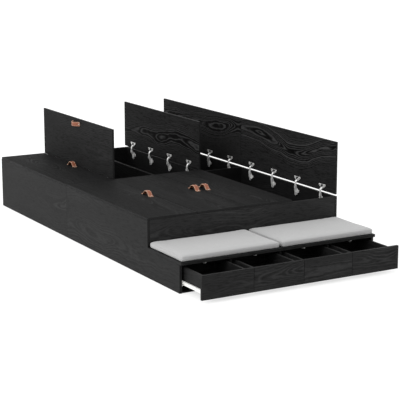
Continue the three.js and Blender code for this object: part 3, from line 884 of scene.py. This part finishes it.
# ------------------------------------------------------------------ drawers
DRAWERS = ("left", "inner_left", "inner_right", "right")
for i, key in enumerate(DRAWERS):
    body = f"drawer_{key}"
    front = body + "_front"
    board(front, [veneer(front, "drawer", "X", 7.7 + 0.02 * i, (0.55, 0.7, 0.4, 0.6)[i], 0.035, 0.03), veneer(front, "bare", "X", 0.4)],
          index=lambda f: 1 if f.normal.y > 0.3 else 0)
    side_wood = veneer(body + "_box", "face", "Y", 8.4 + 0.4 * i)
    inner_wood = veneer(body + "_box", "bare", "X", 8.6 + 0.4 * i)
    lo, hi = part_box(body + "_box")
    side, bottom = 12 * MM, 5 * MM
    parts = {
        "side_l": (Vector((lo.x, lo.y, lo.z)), Vector((lo.x + side, hi.y, hi.z))),
        "side_r": (Vector((hi.x - side, lo.y, lo.z)), Vector((hi.x, hi.y, hi.z))),
        "back": (Vector((lo.x + side, hi.y - side, lo.z)), Vector((hi.x - side, hi.y, hi.z))),
        "bottom": (Vector((lo.x + side, lo.y, lo.z)), Vector((hi.x - side, hi.y - side, lo.z + bottom))),
    }
    for part, (a, b) in parts.items():
        bm = bmesh.new()
        gap = 0.1 * MM
        a = a + Vector((gap, 0, 0)) if part in ("back", "bottom") else a
        b = b - Vector((gap, 0, 0)) if part in ("back", "bottom") else b
        if part == "bottom":
            b = b - Vector((0, gap, 0))
        add_box(bm, a, b, 0, 0.8 * MM if part != "bottom" else 0.4 * MM, 2)
        o = new_object(f"{body}_{part}", bm, [inner_wood if part in ("back", "bottom") else side_wood], 40)
        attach(o, body)
        if part == "bottom":
            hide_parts(body + "_box")


def add_roller(bm, centre, axis_x, half, r):
    m = frame_matrix(centre, Vector((0, 1, 0)), Vector((0, 0, 1)), Vector((1, 0, 0)))
    add_lathe(bm, [(0, -half), (r * 0.35, -half), (r * 0.42, -half * 0.8), (r * 0.8, -half * 0.8), (r * 0.94, -half * 0.9), (r, -half * 0.6),
                   (r, half * 0.6), (r * 0.94, half * 0.9), (r * 0.8, half * 0.8), (r * 0.42, half * 0.8), (r * 0.35, half), (0, half)],
              24, m, 1)


def runner_profile(bm, profile, wall, d, y0, y1, mat=0):
    m = frame_matrix(Vector((wall, y0, 0)), Vector((d, 0, 0)), Vector((0, 0, 1)), Vector((0, 1, 0)))
    add_prism(bm, [(u * MM, z * MM) for u, z in profile], y1 - y0, m, mat)


BOARD_T = 15 * MM
x_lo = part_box("bench_top")[0].x
x_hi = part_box("bench_top")[1].x
cell = (x_hi - x_lo) / 4
BAYS = []
for i in range(4):
    a = x_lo + (BOARD_T if i == 0 else cell * i + BOARD_T / 2)
    b = x_hi - BOARD_T if i == 3 else x_lo + cell * (i + 1) - BOARD_T / 2
    BAYS.append((a, b))
rail_y0, rail_y1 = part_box("bench_runner_rails")[0].y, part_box("bench_runner_rails")[1].y
bm = bmesh.new()
for wall_l, wall_r in BAYS:
    for wall, d in ((wall_l, 1), (wall_r, -1)):
        runner_profile(bm, [(0.3, 38), (7.2, 38), (7.2, 40.2), (6.4, 40.2), (6.4, 39.2), (1.6, 39.2), (1.6, 64.8), (3.9, 64.8),
                            (3.9, 63.2), (4.7, 63.2), (4.7, 66), (0.3, 66)], wall, d, rail_y0, rail_y1 - 1 * MM)
        c = Vector((wall + d * 4.6 * MM, rail_y0 + 11.5 * MM, (60.2 - 0.3 - 7) * MM))
        add_roller(bm, c, d, 2.6 * MM, 7 * MM)
        for yy in (0.035, 0.16, 0.30):
            ms = frame_matrix(Vector((wall + d * 1.7 * MM, rail_y0 + yy, 52 * MM)), Vector((0, 1, 0)), Vector((0, 0, 1)), Vector((d, 0, 0)))
            add_screw(bm, ms, 3.4 * MM, 1.2 * MM, 2)
bmesh.ops.recalc_face_normals(bm, faces=bm.faces)
o = new_object("bench_rails", bm, [M_RUNNER, M_ROLLER, M_SCREW], 35)
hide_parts("bench_runner_rails")
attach(o, "carcass")

for i, key in enumerate(DRAWERS):
    body = f"drawer_{key}"
    lo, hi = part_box(body + "_runners")
    bm = bmesh.new()
    for wall, d in ((BAYS[i][0], 1), (BAYS[i][1], -1)):
        runner_profile(bm, [(3, 60.2), (8.4, 60.2), (8.4, 43.6), (6.9, 43.6), (6.9, 42.4), (9.8, 42.4), (9.8, 60.2), (23.6, 60.2), (23.6, 61.8), (3, 61.8)],
                       wall, d, lo.y, hi.y)
        c = Vector((wall + d * 5.6 * MM, hi.y - 12 * MM, (39.5 + 0.3 + 7) * MM))
        add_roller(bm, c, d, 2.5 * MM, 7 * MM)
        for yy in (0.04, 0.16, 0.28):
            ms = frame_matrix(Vector((wall + d * 18 * MM, lo.y + yy, 60.2 * MM)), Vector((1, 0, 0)), Vector((0, -1, 0)), Vector((0, 0, -1)))
            add_screw(bm, ms, 3.2 * MM, 1.1 * MM, 2)
    bmesh.ops.recalc_face_normals(bm, faces=bm.faces)
    o = new_object(body + "_runner_pair", bm, [M_RUNNER, M_ROLLER, M_SCREW], 35)
    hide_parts(body + "_runners")
    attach(o, body)

# push catches under the bench top, one over each drawer
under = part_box("bench_top")[0].z
front_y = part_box("bench_partition_left")[0].y
for i, key in enumerate(DRAWERS):
    cx = x_lo + cell * (i + 0.5)
    bm = bmesh.new()
    add_box(bm, (cx - 9 * MM, front_y + 3 * MM, under - 11 * MM), (cx + 9 * MM, front_y + 60 * MM, under - 0.1 * MM), 0, 1.6 * MM, 3)
    m = frame_matrix(Vector((cx, front_y + 3.4 * MM, under - 6 * MM)), Vector((1, 0, 0)), Vector((0, 0, 1)), Vector((0, -1, 0)))
    add_lathe(bm, [(0, -2 * MM), (3.4 * MM, -2 * MM), (3.4 * MM, 2.2 * MM), (2.9 * MM, 3.0 * MM), (0, 3.2 * MM)], 18, m, 1)
    o = new_object(f"push_catch_{key}", bm, [M_CATCH, M_TIP], 40)
    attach(o, "carcass")


# ------------------------------------------------------------------ cushions
def rounded_plan(x0, x1, y0, y1, r, k=6):
    pts = []
    for cx, cy, a0 in ((x1 - r, y0 + r, -90), (x1 - r, y1 - r, 0), (x0 + r, y1 - r, 90), (x0 + r, y0 + r, 180)):
        for i in range(k + 1):
            a = math.radians(a0 + 90 * i / k)
            pts.append((cx + r * math.cos(a), cy + r * math.sin(a)))
    return pts


def cushion(node, seed):
    lo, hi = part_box(node)
    inset = 2 * MM
    bm = bmesh.new()
    plan = rounded_plan(lo.x + inset, hi.x - inset, lo.y + inset, hi.y - inset, 10 * MM)
    m = Matrix.Translation((0, 0, lo.z + 1.5 * MM))
    add_prism(bm, plan, hi.z - lo.z - 5.0 * MM, m, 0, 5 * MM, 3)
    o = new_object(node + "_upholstered", bm, [M_FABRIC])
    bpy.context.view_layer.objects.active = o
    rm = o.modifiers.new("remesh", "REMESH")
    rm.mode = "VOXEL"
    rm.voxel_size = 0.0055
    bpy.ops.object.select_all(action="DESELECT")
    o.select_set(True)
    bpy.ops.object.modifier_apply(modifier="remesh")
    rest = np.array([v.co for v in o.data.vertices])
    cloth = o.modifiers.new("cloth", "CLOTH")
    s = cloth.settings
    s.quality = 5
    s.mass = 0.3
    s.tension_stiffness = s.compression_stiffness = 18
    s.shear_stiffness = 6
    s.bending_stiffness = 0.6
    s.use_pressure = True
    s.uniform_pressure_force = 4.0
    s.effector_weights.gravity = 0.0
    cloth.collision_settings.use_collision = False
    cloth.collision_settings.use_self_collision = False
    cloth.point_cache.frame_start = 1
    cloth.point_cache.frame_end = 20
    scene.frame_start, scene.frame_end = 1, 20
    for f in range(1, 21):
        scene.frame_set(f)
    dg = bpy.context.evaluated_depsgraph_get()
    got = np.array([v.co for v in o.evaluated_get(dg).data.vertices])
    o.modifiers.remove(cloth)
    scene.frame_set(1)
    move = got - rest
    size = np.linalg.norm(move, axis=1, keepdims=True)
    cap = 5.5 * MM
    move = np.where(size > cap, move * cap / np.maximum(size, 1e-9), move)
    co = rest + move
    # it lies flat on the bench, and stays in its own place
    rng = np.random.default_rng(seed)
    mid = (np.array(lo) + np.array(hi)) / 2
    half = (np.array(hi) - np.array(lo)) / 2
    px = (co[:, 0] - mid[0]) / half[0]
    py = (co[:, 1] - mid[1]) / half[1]
    upper = np.clip((co[:, 2] - lo.z) / (hi.z - lo.z), 0, 1)
    # gentle crown and a few soft dents in the top
    crown = (1 - np.clip(np.abs(px), 0, 1) ** 3.0) * (1 - np.clip(np.abs(py), 0, 1) ** 3.0)
    co[:, 2] += upper * (crown * 2.5 * MM - 1.0 * MM)
    for _ in range(16):
        ax, ay = rng.uniform(-0.95, 0.95, 2)
        sx, sy = rng.uniform(0.10, 0.3), rng.uniform(0.15, 0.4)
        amp = rng.uniform(-0.9, 0.5) * MM
        co[:, 2] += upper * amp * np.exp(-((px - ax) / sx) ** 2 - ((py - ay) / sy) ** 2)
    co[:, 2] = np.clip(co[:, 2], lo.z + 0.1 * MM, hi.z + 4 * MM)
    # the sides keep to the cushion's own outline, easing in to it rather than being cut off flat
    for k, (a, b) in enumerate(((lo.x, hi.x), (lo.y, hi.y))):
        for sign, limit in ((1, b), (-1, a)):
            over = (co[:, k] - limit) * sign + 2.0 * MM
            co[:, k] -= sign * np.where(over > 0, over - 2.0 * MM * np.tanh(over / (2.0 * MM)), 0)
    o.data.vertices.foreach_set("co", co.astype(np.float32).ravel())
    o.data.update()
    sub = o.modifiers.new("sub", "SUBSURF")
    sub.levels = sub.render_levels = 1
    bpy.ops.object.modifier_apply(modifier="sub")
    o.data.shade_smooth()
    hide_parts(node)
    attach(o, node)

    # seam round the side, sewn where the cover's top meets its border
    tree = BVHTree.FromPolygons([v.co.copy() for v in o.data.vertices], [tuple(p.vertices) for p in o.data.polygons])
    for which, z in (("upper", hi.z - 8.0 * MM), ("lower", lo.z + 5.0 * MM)):
        plan = rounded_plan(lo.x + 12 * MM, hi.x - 12 * MM, lo.y + 12 * MM, hi.y - 12 * MM, 14 * MM, 8)
        dense = []
        for (ax, ay), (bx, by) in zip(plan, plan[1:] + plan[:1]):
            n = max(1, int(math.hypot(bx - ax, by - ay) / 0.008))
            dense += [(ax + (bx - ax) * k / n, ay + (by - ay) * k / n) for k in range(n)]
        path = []
        n = len(dense)
        for k, (x, y) in enumerate(dense):
            x2, y2 = dense[(k + 2) % n]
            x1, y1 = dense[(k - 2) % n]
            t = Vector((x2 - x1, y2 - y1, 0)).normalized()
            out = Vector((t.y, -t.x, 0))
            hit = tree.ray_cast(Vector((x, y, z)) + out * 0.06, -out, 0.12)
            if hit[0] is not None:
                path.append((hit[0] - out * 0.35 * MM, out))
        bm = bmesh.new()
        rings = []
        for p, out in path:
            ring = []
            for q in range(7):
                a = 2 * math.pi * q / 7
                ring.append(bm.verts.new(p + out * (0.95 * MM * math.cos(a)) + Vector((0, 0, 0.95 * MM * math.sin(a)))))
            rings.append(ring)
        for a, b in zip(rings, rings[1:] + rings[:1]):
            for q in range(7):
                bm.faces.new((a[q], a[(q + 1) % 7], b[(q + 1) % 7], b[q]))
        bmesh.ops.recalc_face_normals(bm, faces=bm.faces)
        s = new_object(f"{node}_seam_{which}", bm, [M_PIPING], 60)
        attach(s, node)
    return o


cushion("cushion_left", 3)
cushion("cushion_right", 8)


# ------------------------------------------------------------------ floor
bm = bmesh.new()
bmesh.ops.create_grid(bm, x_segments=4, y_segments=4, size=30)
floor = new_object("floor", bm, [floor_paint()])
floor.location = (0, 0, -0.0005)
floor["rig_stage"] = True

lo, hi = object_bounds()
